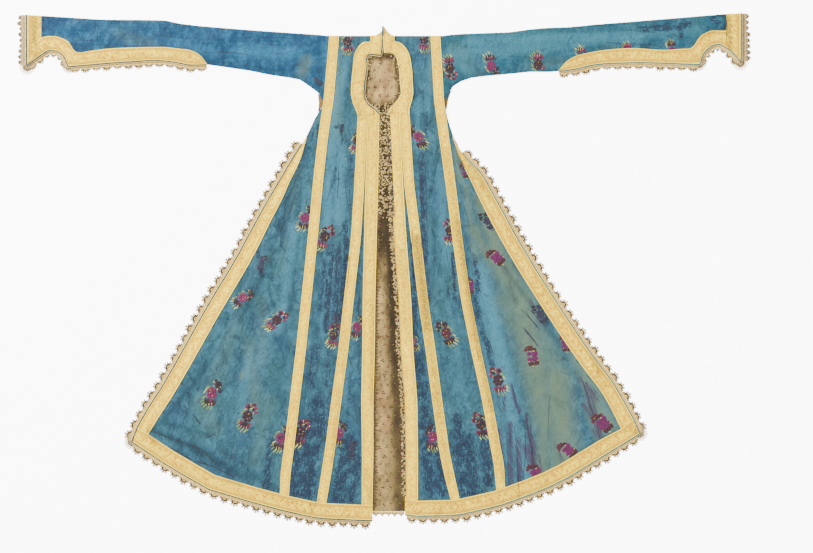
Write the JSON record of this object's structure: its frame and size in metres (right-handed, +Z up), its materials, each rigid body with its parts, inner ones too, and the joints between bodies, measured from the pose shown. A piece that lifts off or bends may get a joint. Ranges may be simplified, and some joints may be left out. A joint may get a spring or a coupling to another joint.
{
  "type": "ottoman robe",
  "caption": "Three-skirted Ottoman robe of teal-blue silk strewn with small flowers, edged with cream galloon and scalloped gold lace, laid flat and open at the neck.",
  "frame": {"origin": "under the middle of the robe, on the flat surface it lies on", "axes": "X across the spread sleeves, +X to the right as the front is seen; +Y from hem to neck; Z up out of the surface"},
  "size_m": [2.199, 1.5436, 0.0095],
  "materials": {
    "silk": "satin-faced silk, softly creased",
    "galloon": "woven silk and metal-thread braid, low sheen",
    "lace": "openwork metal-thread bobbin lace",
    "lining": "plain cotton with small printed flowers",
    "cotton": "plain-weave cotton facing"
  },
  "bodies": {
    "root": {"back_panel": "silk", "left_front_panel": "silk", "left_centre_gore": "silk", "left_side_gore": "silk", "left_sleeve_front": "silk", "left_sleeve_back": "silk", "right_front_panel": "silk", "right_centre_gore": "silk", "right_side_gore": "silk", "right_sleeve_front": "silk", "right_sleeve_back": "silk", "left_neck_braid": "galloon", "left_centre_braid": "galloon", "left_inner_braid": "galloon", "left_outer_braid": "galloon", "left_side_braid": "galloon", "left_hem_braid": "galloon", "left_collar": "galloon", "left_cuff_braid": "galloon", "left_slit_braid": "galloon", "right_neck_braid": "galloon", "right_centre_braid": "galloon", "right_inner_braid": "galloon", "right_outer_braid": "galloon", "right_side_braid": "galloon", "right_hem_braid": "galloon", "right_collar": "galloon", "right_cuff_braid": "galloon", "right_slit_braid": "galloon", "back_hem_lace": "lace", "left_cuff_lace": "lace", "left_side_lace": "lace", "left_hem_lace": "lace", "left_front_lace": "lace", "right_cuff_lace": "lace", "right_side_lace": "lace", "right_hem_lace": "lace", "right_front_lace": "lace", "back_lining": "lining", "left_underarm": "cotton", "right_underarm": "cotton"}
  },
  "joints": []
}
